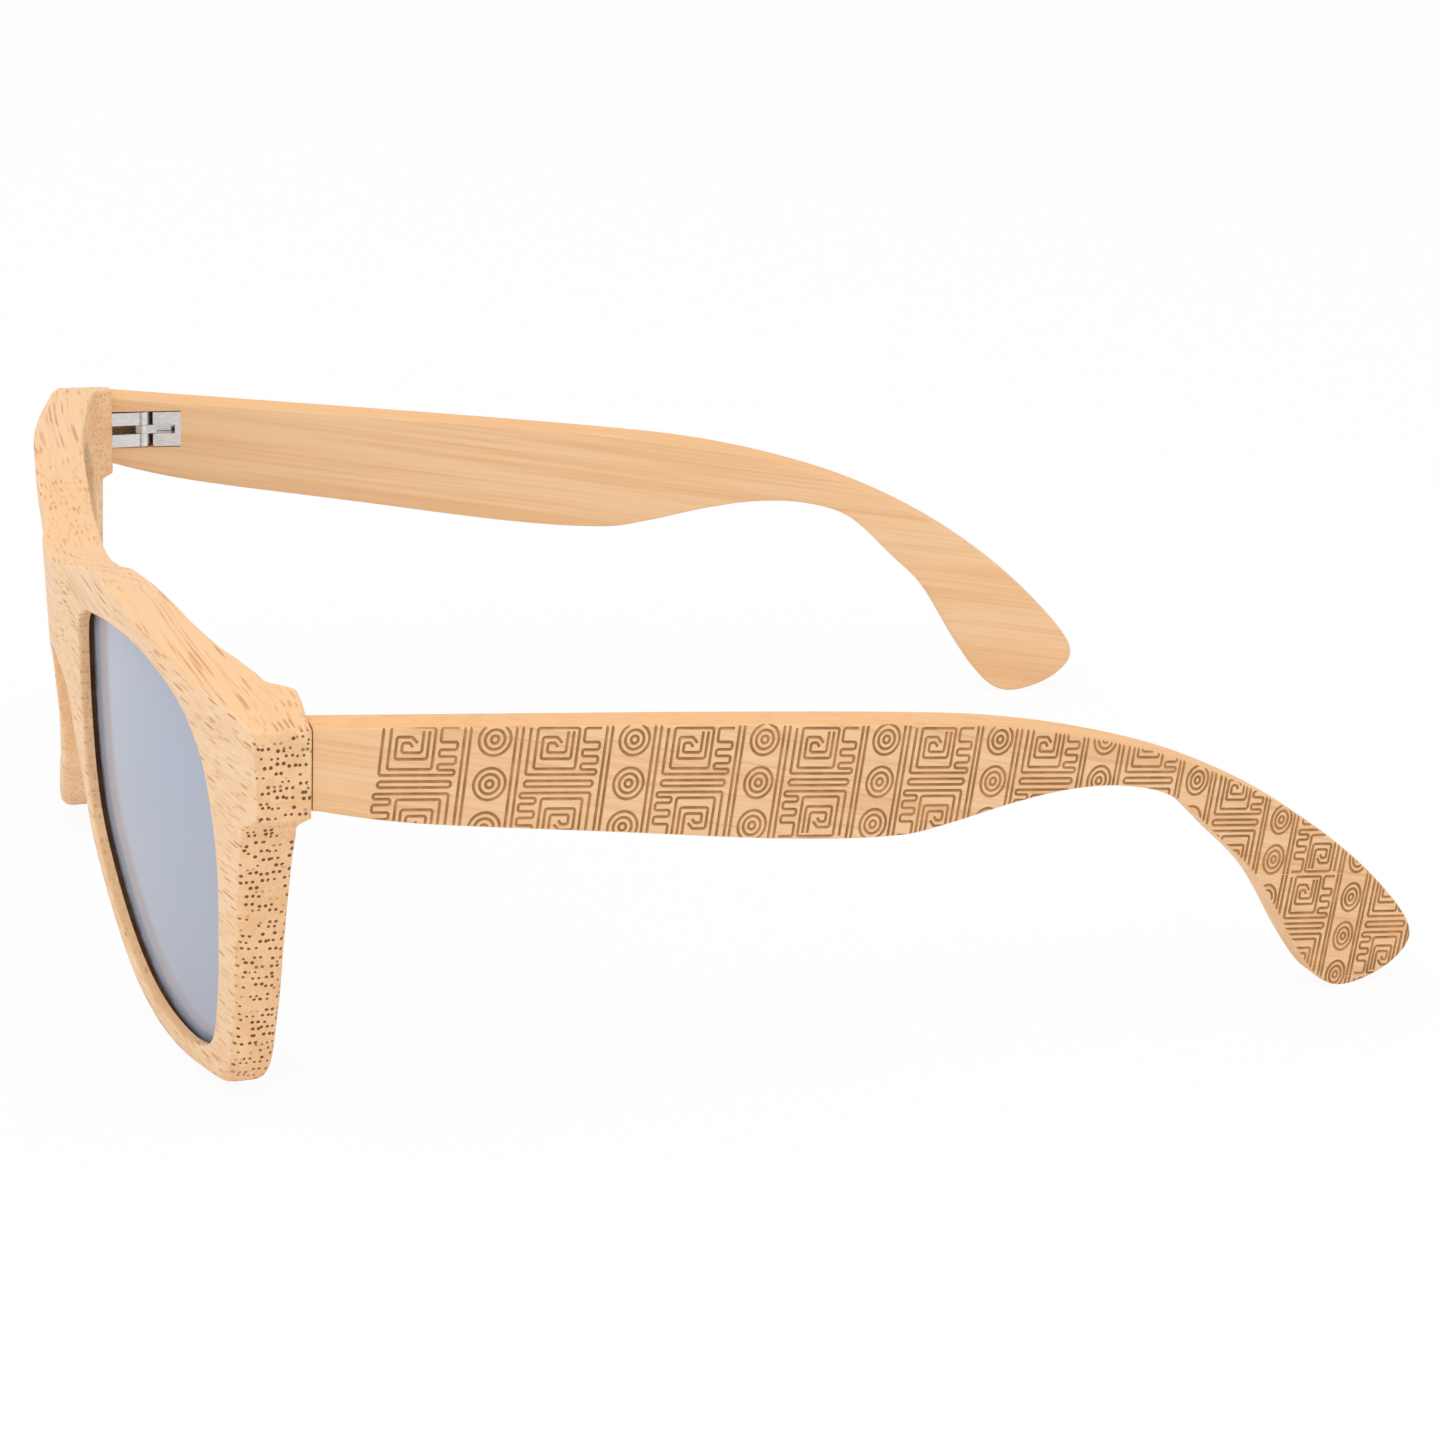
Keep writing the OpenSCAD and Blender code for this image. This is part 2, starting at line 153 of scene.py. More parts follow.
class FinishSettings(bpy.types.PropertyGroup):
    """Colours of the finishes."""
    cream: colour("Bamboo, light", "Lightest bamboo", (0.90, 0.59, 0.335))
    # Painted light and shade: pale goes on faces that look forwards, top and amber on faces that look up
    pale: colour("Bamboo, pale", "Front face of the bamboo", (0.93, 0.70, 0.47))
    top: colour("Bamboo, top", "Top edge of the brow", (0.86, 0.54, 0.285))
    amber: colour("Bamboo, amber", "Top edges of the temples", (0.84, 0.45, 0.175))
    honey: colour("Bamboo, warm", "Warmer bands in the bamboo", (0.83, 0.49, 0.245))
    streak: colour("Fibre streak", "Fibre bundles cut along their length", (0.60, 0.26, 0.095))
    end_grain: colour("Fibre end", "Fibre bundles cut across", (0.17, 0.065, 0.022))
    # The lens groove's near-black is scorched wood and painted shade together
    groove: colour("Lens groove", "Inside of the lens groove", (0.11, 0.045, 0.02))
    burnt: colour("Burnt line", "Engraved lines", (0.44, 0.23, 0.095))
    lens: colour("Lens", "Mirror coat", (0.39, 0.435, 0.535))
    lens_haze: colour("Lens, lilac", "Slow drift of the mirror coat", (0.41, 0.44, 0.535))
    steel: colour("Steel", "Hinges", (0.86, 0.86, 0.85))


class StageSettings(bpy.types.PropertyGroup):
    """Camera and light."""
    camera_place: FloatVectorProperty(
        name="Camera place", description="Where the camera stands, from the left hinge",
        default=(0.37570, -0.08521, 0.14868), subtype="XYZ", unit="LENGTH", precision=5)
    azimuth: rotation("Azimuth", "Turn of the camera", 71.087)
    elevation: rotation("Elevation", "Height of the camera", 20.412)
    roll: rotation("Roll", "Roll of the camera", 2.599)
    lens: FloatProperty(name="Lens", description="Focal length on a 36 mm frame", default=92.9, unit="CAMERA")
    world_light: FloatProperty(name="World light", description="Even light from all round", default=0.92)
    key_power: FloatProperty(name="Key light", description="Power of the soft light above", default=1.5)


# Outlines and boards

# Corners of the CAD's triangles that are nearer than this, in metres, are one
SAME_PLACE = 2e-6


def face_borders(node, on_face):
    """Closed rows of points in millimetres round the CAD faces whose corners all pass on_face."""
    bm = bmesh.new()
    bm.from_mesh(frame["nodes"][node].data)
    bmesh.ops.remove_doubles(bm, verts=bm.verts, dist=SAME_PLACE)
    passed = on_face(np.array([v.co for v in bm.verts]) / MM)
    bm.verts.index_update()
    chosen = [f for f in bm.faces if all(passed[v.index] for v in f.verts)]
    known = set(chosen)
    after = {}
    for face in chosen:
        for loop in face.loops:
            if not any(g in known for g in loop.edge.link_faces if g is not face):
                after[loop.vert] = loop.link_loop_next.vert
    rows = []
    while after:
        vert = next(iter(after))
        row = []
        while vert in after:
            row.append(vert.co / MM)
            vert = after.pop(vert)
        rows.append(np.array(row))
    bm.free()
    return sorted(rows, key=lambda row: -np.ptp(row, axis=0).max())


def signed_area(row):
    nxt = np.roll(row, -1, axis=0)
    return 0.5 * np.sum(row[:, 0] * nxt[:, 1] - nxt[:, 0] * row[:, 1])


def without_straight(row, slack=0.004):
    """Drops the points that lie on the straight line between their neighbours."""
    before, nxt = np.roll(row, 1, axis=0), np.roll(row, -1, axis=0)
    chord = nxt - before
    rel = row - before
    off = np.abs(chord[:, 0] * rel[:, 1] - chord[:, 1] * rel[:, 0]) / np.linalg.norm(chord, axis=1)
    return row[off > slack]


def smooth_row(row, step, corner=math.radians(50)):
    """A smooth closed row of evenly spaced points through a row, with its sharp corners kept."""
    row = without_straight(row)
    back = row - np.roll(row, 1, axis=0)
    ahead = np.roll(row, -1, axis=0) - row
    turn = np.abs(np.angle(np.exp(1j * (np.arctan2(ahead[:, 1], ahead[:, 0])
                                        - np.arctan2(back[:, 1], back[:, 0])))))
    sharp = turn > corner
    count = len(row)
    out = []
    for i in range(count):
        p, q, r, s = (row[(i + k) % count] for k in (-1, 0, 1, 2))
        if sharp[i]:
            p = 2 * q - r
        if sharp[(i + 1) % count]:
            s = 2 * r - q
        pieces = max(1, round(np.linalg.norm(r - q) / step))
        for t in np.arange(pieces) / pieces:
            out.append(0.5 * (2 * q + (r - p) * t + (2 * p - 5 * q + 4 * r - s) * t ** 2
                              + (3 * q - p - 3 * r + s) * t ** 3))
    return np.array(out)


def into_wood(row, hole):
    """Unit normals of a closed row that point into the board."""
    tangent = np.roll(row, -1, axis=0) - np.roll(row, 1, axis=0)
    normal = np.stack([-tangent[:, 1], tangent[:, 0]], axis=1)
    normal /= np.linalg.norm(normal, axis=1)[:, None]
    return normal * (np.sign(signed_area(row)) * (-1 if hole else 1))


def inside(points, row):
    """Which points lie inside a closed row."""
    a, b = row, np.roll(row, -1, axis=0)
    x, y = points[:, :1], points[:, 1:]
    crosses = (a[:, 1] > y) != (b[:, 1] > y)
    rise = np.where(b[:, 1] == a[:, 1], 1e-9, b[:, 1] - a[:, 1])
    hit = a[:, 0] + (y - a[:, 1]) * (b[:, 0] - a[:, 0]) / rise
    return (np.sum(crosses & (x < hit), axis=1) % 2).astype(bool)


def nearest(points, borders):
    """Distance to, and number of, the nearest border point."""
    found = [np.linalg.norm(part[:, None] - borders[None], axis=2)
             for part in np.array_split(points, max(1, len(points) // 2000))]
    return np.concatenate([d.min(axis=1) for d in found]), np.concatenate([d.argmin(axis=1) for d in found])


def smooth_step(low, high, value):
    t = np.clip((value - low) / (high - low), 0, 1)
    return t * t * (3 - 2 * t)


def within(points, rows):
    """Which points lie inside an outline, the first row, and outside its holes."""
    found = inside(points, rows[0])
    for row in rows[1:]:
        found &= ~inside(points, row)
    return found


def edge_rings(rows, radii, normals, turns):
    """Points of the rounded edges, seen flat, and how far each lies behind the face."""
    borders = np.concatenate(rows)
    flat, fall = [borders], [np.concatenate(radii)]
    for angle in np.linspace(0, math.pi / 2, turns + 1)[1:]:
        for row, radius, normal in zip(rows, radii, normals):
            reach = radius * (1 - math.cos(angle))
            ring = row + normal * reach[:, None]
            clear = nearest(ring, borders)[0] > 0.8 * reach
            flat.append(ring[clear])
            fall.append((radius * (1 - math.sin(angle)))[clear])
    return np.concatenate(flat), np.concatenate(fall)


def face_spots(rows, radii, grid, extra):
    """Points in a grid on the flat of the board, clear of its rounded edges, after the extra ones."""
    low, high = rows[0].min(axis=0), rows[0].max(axis=0)
    steps = np.meshgrid(*(np.arange(a + grid / 2, b, grid) for a, b in zip(low, high)))
    spots = np.stack([s.ravel() for s in steps], axis=1)
    if extra is not None:
        spots = np.concatenate([extra, spots[nearest(spots, extra)[0] > 0.6 * grid]])
    spots = spots[within(spots, rows)]
    gap, which = nearest(spots, np.concatenate(rows))
    return spots[gap > np.concatenate(radii)[which] + 0.3 * grid]


def board(rows, radii, thickness, place, grid, groove=None, extra=None, turns=6, wall_rows=4):
    """A board with rounded edges from its outline, then its holes, in flat points.

    thickness(flat) and place(flat, depth) say how deep it is and where a point lies. groove is
    (start, end, depth) in the holes' walls. Returns points, faces and marks, which are 1 in the groove."""
    normals = [into_wood(row, k > 0) for k, row in enumerate(rows)]
    flat, fall = edge_rings(rows, radii, normals, turns)
    spots = face_spots(rows, radii, grid, extra)
    flat = np.concatenate([flat, spots])
    fall = np.concatenate([fall, np.zeros(len(spots))])
    counts = [len(row) for row in rows]
    ends = np.split(np.arange(sum(counts)), np.cumsum(counts)[:-1])
    edges = [(int(a), int(b)) for ids in ends for a, b in zip(ids, np.roll(ids, -1))]
    made = delaunay_2d_cdt([Vector(p) for p in flat], edges, [], 0, 1e-6)
    flat, tris, sources = np.array(made[0]), np.array(made[2]), made[3]
    fall = fall[[group[0] for group in sources]]
    number_of = {source: i for i, group in enumerate(sources) for source in group}
    tris = tris[within(flat[tris].mean(axis=1), rows)]
    count = len(flat)
    points = [place(flat, fall), place(flat, thickness(flat) - fall)]
    faces = [tuple(t) for t in tris] + [tuple(t[::-1] + count) for t in tris]
    marks = [0] * len(faces)
    total = 2 * count
    for k, (row, radius, normal, ids) in enumerate(zip(rows, radii, normals, ends)):
        first = [number_of[i] for i in ids]
        if k and groove:
            start, end, inset = groove
            walls = [(np.full(len(row), level), shift)
                     for level, shift in ((start, 0), (start, inset), (end, inset), (end, 0))]
            marked = (1, 2, 3)
        else:
            straight = thickness(row) - 2 * radius
            walls = [(radius + straight * t, 0) for t in np.linspace(0, 1, wall_rows + 1)[1:-1]]
            marked = ()
        strings = [first]
        for level, shift in walls:
            points.append(place(row + normal * shift, level))
            strings.append(list(range(total, total + len(row))))
            total += len(row)
        strings.append([i + count for i in first])
        for strip, (a, b) in enumerate(zip(strings, strings[1:])):
            for i in range(len(row)):
                j = (i + 1) % len(row)
                faces.append((a[i], a[j], b[j], b[i]))
                marks.append(int(strip in marked))
    return np.concatenate(points), faces, marks


# Objects

def new_object(name, data):
    thing = bpy.data.objects.new(name, data)
    bpy.context.scene.collection.objects.link(thing)
    return thing


def merge_corners(mesh, distance):
    """Merges a mesh's doubled corners and turns its faces outwards."""
    bm = bmesh.new()
    bm.from_mesh(mesh)
    bmesh.ops.remove_doubles(bm, verts=bm.verts, dist=distance)
    bmesh.ops.recalc_face_normals(bm, faces=bm.faces)
    bm.to_mesh(mesh)
    bm.free()


def mesh_from(name, points, faces, marks, materials, mirrored=False):
    """A mesh in metres from points in millimetres, its faces turned outwards."""
    points = points * MM * ((-1, 1, 1) if mirrored else (1, 1, 1))
    mesh = bpy.data.meshes.new(name)
    mesh.from_pydata(points.tolist(), [], faces)
    for material in materials:
        mesh.materials.append(material)
    mesh.polygons.foreach_set("material_index", marks)
    merge_corners(mesh, 1e-7)
    return mesh


def plain_mesh(thing):
    """The object's mesh with its modifiers applied."""
    depsgraph = bpy.context.evaluated_depsgraph_get()
    depsgraph.update()
    return bpy.data.meshes.new_from_object(thing.evaluated_get(depsgraph))


def apply_modifiers(thing):
    """Keeps the evaluated mesh and removes the modifiers."""
    mesh = plain_mesh(thing)
    thing.modifiers.clear()
    thing.data = mesh


def cut(thing, *cutters):
    """Takes the cutters away from a closed piece and deletes them."""
    for cutter in cutters:
        step = thing.modifiers.new("cut", "BOOLEAN")
        step.operation = "DIFFERENCE"
        step.object = cutter
        step.solver = "MANIFOLD"
        step.material_mode = "TRANSFER"
    apply_modifiers(thing)
    for cutter in cutters:
        bpy.data.objects.remove(cutter)


def shade(thing, angle=35):
    """Smooth shading that keeps edges sharper than the angle."""
    thing.data.shade_smooth()
    thing.data.set_sharp_from_angle(angle=math.radians(angle))


def box_corners(low, high):
    """The eight corners of a box, low four then high four."""
    (x0, y0, z0), (x1, y1, z1) = low, high
    return np.array([(x, y, z) for z in (z0, z1) for x, y in ((x0, y0), (x1, y0), (x1, y1), (x0, y1))])


def box_object(name, corners, material, mirrored=False):
    """A closed box from its eight corners in millimetres."""
    faces = [(0, 1, 2, 3), (4, 5, 6, 7), (0, 1, 5, 4), (1, 2, 6, 5), (2, 3, 7, 6), (3, 0, 4, 7)]
    return new_object(name, mesh_from(name, corners, faces, [0] * len(faces), [material], mirrored))


def temple_place(local):
    """Points out from, back from and above the left pivot, as points of the model."""
    local = np.asarray(local, dtype=float)
    return pivot + local[..., :1] * outward + local[..., 1:2] * along + local[..., 2:] * np.array([0, 0, 1])


def dress(mesh, material):
    """Gives a mesh one material."""
    mesh.materials.clear()
    mesh.materials.append(material)


def finish_piece(thing, body, slot, *nodes):
    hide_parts(*nodes)
    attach(thing, body)


# Materials

def feed(socket, value):
    """Links an input to a socket, or gives it a value of its own."""
    if isinstance(value, bpy.types.NodeSocket):
        socket.id_data.links.new(value, socket)
    else:
        socket.default_value = value


def set_inputs(node, inputs):
    """Feeds a node's inputs, by name or number."""
    for key, value in inputs.items():
        feed(node.inputs[key], value)


def add(tree, kind, inputs=None, **settings):
    """A new node with its settings and inputs."""
    node = tree.nodes.new(kind)
    for key, value in settings.items():
        setattr(node, key, value)
    set_inputs(node, inputs or {})
    return node


def tree_of(*values):
    """The node tree of the first socket among some values."""
    return next(value.id_data for value in values if isinstance(value, bpy.types.NodeSocket))


def calc(operation, *values):
    """The result of a Math node."""
    return add(tree_of(*values), "ShaderNodeMath", dict(enumerate(values)), operation=operation).outputs[0]


def product(first, *others):
    """Several values multiplied."""
    for value in others:
        first = calc("MULTIPLY", first, value)
    return first


def ramp(value, low, high, start=0.0, end=1.0):
    """A smooth ramp of a value from start at low to end at high."""
    return add(tree_of(value), "ShaderNodeMapRange", {
        "Value": value, "From Min": low, "From Max": high, "To Min": start, "To Max": end},
        interpolation_type="SMOOTHSTEP").outputs["Result"]


def mix(factor, a, b):
    """A blend of two colours, each a socket or three numbers."""
    node = add(tree_of(factor), "ShaderNodeMix", {"Factor": factor}, data_type="RGBA")
    for key, value in (("A", a), ("B", b)):
        socket = next(s for s in node.inputs if s.name == key and s.type == "RGBA")
        feed(socket, value if isinstance(value, bpy.types.NodeSocket) else (*value, 1))
    return next(s for s in node.outputs if s.type == "RGBA")


def combine(x, y, z=0.0):
    """A vector from its X, Y and Z."""
    return add(tree_of(x, y, z), "ShaderNodeCombineXYZ", {"X": x, "Y": y, "Z": z}).outputs[0]


def split(vector):
    """X, Y and Z of a vector."""
    return tuple(add(tree_of(vector), "ShaderNodeSeparateXYZ", {"Vector": vector}).outputs)


def noise(place, scale, detail):
    """The outputs of a Noise texture."""
    inputs = {"Vector": place, "Scale": scale, "Detail": detail}
    return add(tree_of(place), "ShaderNodeTexNoise", inputs).outputs


def bump(height, strength, distance):
    """A normal with relief."""
    inputs = {"Height": height, "Strength": strength, "Distance": distance}
    return add(tree_of(height), "ShaderNodeBump", inputs).outputs[0]


def new_material(name):
    """A material, its shader and its texture coordinates."""
    material = bpy.data.materials.new(name)
    material.use_nodes = True
    tree = material.node_tree
    return material, tree.nodes["Principled BSDF"], add(tree, "ShaderNodeTexCoord").outputs


def squeezed(place, along_scale, across_scale):
    """A place scaled along the fibres, which run along X, and across them."""
    x, y, z = place
    return combine(product(x, along_scale), product(y, across_scale), product(z, across_scale))


def fibre_places(place, turn, slope, grain_bend, grain_fall):
    """Millimetres along and across the fibres, first as if straight, then with their bend and drift."""
    tree = tree_of(place)
    level = add(tree, "ShaderNodeMapping", {
        "Vector": place, "Rotation": (0, 0, turn), "Scale": (1 / MM, 1 / MM, 1 / MM)})
    level = add(tree, "ShaderNodeMapping", {"Vector": level.outputs[0], "Rotation": (0, slope, 0)})
    straight = split(level.outputs[0])
    x = straight[0]
    bend = combine(0.0, product(x, x, -grain_bend), product(calc("ABSOLUTE", x), grain_fall))
    drift = noise(squeezed(straight, 0.014, 0.06), 1.0, 1.0)
    bent = add(tree, "ShaderNodeVectorMath", {
        0: drift["Color"], 1: (0, 0.9, 0.9), 2: level.outputs[0]}, operation="MULTIPLY_ADD")
    bent = add(tree, "ShaderNodeVectorMath", {0: bent.outputs[0], 1: bend}, operation="ADD")
    return straight, split(bent.outputs[0])


def fibre_bundles(place):
    """Dots and thinner streaks of the fibre bundles: pairs of lobes in every cell of the cross-section."""
    flatter, half_pair = 0.72, 0.34
    section = combine(product(place[1], flatter), place[2])
    tree = tree_of(section)
    cells = add(tree, "ShaderNodeTexVoronoi", {
        "Vector": section, "Scale": 1.0, "Randomness": 0.8}, voronoi_dimensions="2D").outputs
    chance = add(tree, "ShaderNodeSeparateColor", {"Color": cells["Color"]}).outputs
    away = add(tree, "ShaderNodeVectorMath", {0: section, 1: cells["Position"]}, operation="SUBTRACT")
    sideways, upwards, _ = split(away.outputs[0])
    apart = ramp(chance["Blue"], 0.2, 0.3, 0.0, half_pair)
    wide = calc("SUBTRACT", calc("DIVIDE", calc("ABSOLUTE", sideways), flatter), apart)
    near = calc("SQRT", calc("ADD", product(wide, wide), product(upwards, upwards)))
    radius = ramp(chance["Red"], 0.0, 1.0, 0.12, 0.21)
    seen = ramp(chance["Green"], 0.02, 0.2, 0.3, 1.0)
    dot = ramp(near, calc("ADD", radius, 0.07), calc("SUBTRACT", radius, 0.03))
    streak = ramp(near, radius, calc("SUBTRACT", radius, 0.09))
    return product(dot, seen), product(streak, seen)


def bamboo(name, finish, turn, slope, grain_bend, grain_fall, painted_top_lighting, dot_strength, streak_strength):
    """Bamboo with its fibres along X after a turn and a slope: dots at their ends, streaks beside them, and
    painted light and shade by which way a face looks.
    """
    material, shader, coords = new_material(name)
    straight, bent = fibre_places(coords["Object"], turn, slope, grain_bend, grain_fall)
    dot, streak = fibre_bundles(bent)

    # Tone: fine hairs, broad bands and the breaks in the streaks
    fine = noise(squeezed(bent, 0.035, 2.6), 1.0, 3.0)["Fac"]
    broad = noise(squeezed(straight, 0.012, 0.35), 1.0, 2.0)["Fac"]
    breaks = noise(squeezed(straight, 0.16, 1.0), 0.5, 2.0)["Fac"]
    fade = ramp(breaks, 0.36, 0.58, 0.3, 1.0)
    tone = calc("ADD", product(fine, 0.55), product(broad, 0.6))
    wood = mix(ramp(tone, 0.42, 0.72), finish.cream, finish.honey)

    # Painted light and shade: the faces that look up and those that look forwards get colours of their own,
    # chosen by which way they face
    facing = add(material.node_tree, "ShaderNodeVectorRotate", {
        "Vector": coords["Normal"], "Angle": turn}, rotation_type="Z_AXIS")
    endways, backwards, upwards = split(facing.outputs[0])
    wood = mix(ramp(upwards, 0.6, 0.95, 0.0, 0.8), wood, painted_top_lighting)
    wood = mix(ramp(backwards, -0.7, -0.9, 0.0, 0.42), wood, finish.pale)

    # End grain shows on the faces that look outwards along the fibre, away from the bridge
    ends = ramp(calc("ABSOLUTE", endways), 0.45, 0.8)
    outwards = product(endways, calc("SIGN", straight[0]))
    sanded = product(ramp(outwards, -0.2, 0.2, 0.2, 1.0),
                     ramp(calc("ABSOLUTE", straight[0]), 30.0, 48.0, 0.25, 1.0))
    hair = product(ramp(fine, 0.56, 0.68, 0.0, 0.6), fade)
    beside = calc("MAXIMUM", product(streak, fade), hair)
    beside = product(beside, streak_strength, calc("SUBTRACT", 1.0, ends))
    wood = mix(beside, wood, finish.streak)
    cut_across = product(dot, dot_strength, ends, sanded)
    wood = mix(cut_across, wood, finish.end_grain)
    relief = calc("SUBTRACT", fine, product(cut_across, 0.8))
    set_inputs(shader, {
        "Base Color": wood, "Roughness": ramp(fine, 0.3, 0.7, 0.42, 0.58),
        "Specular IOR Level": 0.3, "Normal": bump(relief, 0.16, 0.0002)})
    return material


def burnt_wood(name, dark):
    """Brown scorched wood in the engraved lines, and in the lens groove a much darker brown that is scorched
    wood and painted shade together.
    """
    material, shader, coords = new_material(name)
    patches = noise(coords["Object"], 450.0, 3.0)["Fac"]
    grit = noise(coords["Object"], 3000.0, 2.0)["Fac"]
    light = tuple(min(1, 1.3 * c + 0.02) for c in dark)
    set_inputs(shader, {
        "Base Color": mix(ramp(patches, 0.35, 0.7), dark, light), "Roughness": 0.75,
        "Specular IOR Level": 0.2, "Normal": bump(grit, 0.3, 0.0001)})
    return material


def mirror_lens(name, finish):
    """Blue-grey mirror coat with a slow drift to lilac."""
    material, shader, coords = new_material(name)
    haze = noise(coords["Object"], 40.0, 1.0)["Fac"]
    set_inputs(shader, {
        "Base Color": mix(ramp(haze, 0.3, 0.7), finish.lens, finish.lens_haze),
        "Metallic": 0.05, "Specular IOR Level": 0.18, "Roughness": ramp(haze, 0.3, 0.7, 0.1, 0.14)})
    return material


def satin_steel(name, finish):
    """Satin nickel with fine lines across the hinge."""
    material, shader, coords = new_material(name)
    lines = add(material.node_tree, "ShaderNodeMapping", {
        "Vector": coords["Object"], "Scale": (900, 900, 12000)})
    brush = noise(lines.outputs[0], 1.0, 3.0)["Fac"]
    dark = tuple(0.75 * c for c in finish.steel)
    set_inputs(shader, {
        "Base Color": mix(ramp(brush, 0.3, 0.7), dark, finish.steel), "Metallic": 1.0,
        "Roughness": ramp(brush, 0.3, 0.7, 0.26, 0.4), "Normal": bump(brush, 0.12, 0.00005)})
    return material


def finish_named(name):
    """One of the finishes, made the first time it is asked for."""
    found = bpy.data.materials.get(name)
    if found:
        return found
    finish = bpy.context.scene.sunglasses_finish
    toe_in = math.atan2(-along[0], along[1])

    def temple_wood(turn, slope, streak_strength):
        # amber on the temples' upward faces is painted light and shade
        return bamboo(name, finish, turn, math.radians(slope), grain_bend=0.0, grain_fall=0.0,
                      painted_top_lighting=finish.amber, dot_strength=0.15, streak_strength=streak_strength)

    makers = {
        "grained_front": lambda: bamboo(
            name, finish, turn=0.0, slope=0.0, grain_bend=0.0011, grain_fall=0.06,
            painted_top_lighting=finish.top, dot_strength=1.0, streak_strength=0.85),
        "grained_left": lambda: temple_wood(math.pi / 2 - toe_in, slope=15, streak_strength=0.3),
        "grained_right": lambda: temple_wood(math.pi / 2 + toe_in, slope=9, streak_strength=0.12),
        "burnt_line": lambda: burnt_wood(name, finish.burnt),
        # The groove's finish is scorched wood darkened further as painted shade
        "burnt_groove_and_shade": lambda: burnt_wood(name, finish.groove),
        "mirror_lens": lambda: mirror_lens(name, finish),
        "satin_steel": lambda: satin_steel(name, finish),
    }
    return makers[name]()


# Front

# Shift of the brow's front and back top edges from the drawn outline, by distance from the middle
BROW_EDGE = (
    (0, 0.2, -0.5), (8, 0.3, -0.2), (14, 0.3, -0.4), (22, 0.3, -0.7), (31, 0.2, -0.5), (40, 0.0, -0.3),
    (48, -0.1, 0.1), (53, -0.1, 0.8), (58, 0.0, 1.2), (62, 0.1, 1.0), (65, 0.1, 0.6), (67, 0.1, 0.2),
    (69, 0.1, 0.0), (70.5, 0.1, 0.0))
# Depths below the brow's top between which that shift grows to its whole
BROW_FADE = (3, 0.3)
# Distances from the middle, and the depth, over which the bridge's ridge fades
RIDGE_FADE = (3, 10)
RIDGE_DEPTH = 4
# Height at the brow that the front's thinning leaves out
BROW_HEIGHT = 4
# Where the hinge block rises, from its inner edge and from its lower edge
BLOCK_SIDE = (-2.5, 0.5)
BLOCK_FOOT = (-0.5, 0.5)
# Drops below the hinge between which the outline's edge changes to its lower rounding
LOW_ROUND_DROP = (8, 26)


def butt_y(front):
    """Plane where the end pieces stop."""
    return temple_low[1] - front.butt_gap / MM


def axis_y(front, z):
    """Where the leaned axis of the wrapped face stands at a height."""
    reach = math.sqrt((front.wrap_radius / MM) ** 2 - half_width ** 2) / math.cos(front.face_tilt)
    return butt_y(front) - front.brow_thick / MM + reach - (z - pivot[2]) * math.tan(front.face_tilt)


def front_depth_at(front, points):
    """Depth of points behind the front face, along its radius."""
    x, y, z = np.asarray(points).T
    return front.wrap_radius / MM - np.hypot(x, (y - axis_y(front, z)) * math.cos(front.face_tilt))


def front_place(front, flat, depth):
    """Flat points of the front view, and a depth behind the front face, as points of the model."""
    x, z = flat[:, 0], flat[:, 1]
    radius = front.wrap_radius / MM - depth
    y = axis_y(front, z) - np.sqrt(radius ** 2 - x ** 2) / math.cos(front.face_tilt)
    beside, behind = smooth_step(*RIDGE_FADE, np.abs(x)), smooth_step(0, RIDGE_DEPTH, depth)
    y -= front.bridge_ridge / MM * (1 - beside) * (1 - behind)
    return np.stack([x, y, z], axis=1)


def brow_shift(row, flat, part):
    """How far points near the brow's top move up, by their part of the way from front to back."""
    above_hinge = 3
    top = row[row[:, 1] > pivot[2] + above_hinge]
    top = top[np.argsort(top[:, 0])]
    x, z = flat[:, 0], flat[:, 1]
    height = np.interp(x, top[:, 0], top[:, 1])
    places, ahead, behind = np.array(BROW_EDGE).T
    ahead, behind = (np.interp(np.abs(x), places, values) for values in (ahead, behind))
    start, whole = BROW_FADE
    return (ahead + (behind - ahead) * part) * smooth_step(height - start, height - whole, z)


def block_edges(front):
    """Inner edge and lower edge of the left hinge block."""
    return half_width - front.block_width / MM, pivot[2] - front.block_drop / MM


def front_thickness(front, flat):
    """Depth of the front: thinner downwards, with a hinge block behind each end piece."""
    x, z = np.abs(flat[:, 0]), flat[:, 1]
    brow, rim = front.brow_thick / MM, front.rim_thick / MM
    height = front_high[2] - front_low[2]
    wrap = brow - (pivot[2] - z) * (brow - rim) / (height - BROW_HEIGHT)
    to_butt = front_depth_at(front, np.stack([x, np.full(len(x), butt_y(front)), z], axis=1))
    edge, low = block_edges(front)
    inside_edge = smooth_step(edge + BLOCK_SIDE[0], edge + BLOCK_SIDE[1], x)
    above_low = smooth_step(low + BLOCK_FOOT[0], low + BLOCK_FOOT[1], z)
    return wrap + (to_butt - wrap) * (inside_edge * above_low)


def block_spots(front):
    """Extra points where the hinge block rises, for both sides."""
    step, below, inset = 0.8, 1, 0.9
    edge, low = block_edges(front)
    heights = np.arange(low - below, front_high[2], step)
    places = np.arange(edge + inset, half_width, step)
    ups = [(edge + d, z) for d in np.linspace(*BLOCK_SIDE, 8) for z in heights]
    overs = [(x, low + d) for d in np.linspace(*BLOCK_FOOT, 5) for x in places]
    spots = np.array(ups + overs)
    return np.concatenate([spots, spots * (-1, 1)])


def front_rows(front):
    """Outline and lens openings of the front face, from the CAD."""
    slack, step = 0.06, 0.6
    borders = face_borders("front_frame", lambda p: np.abs(front_depth_at(front, p)) < slack)
    return [smooth_row(row[:, [0, 2]], step) for row in borders[:3]]


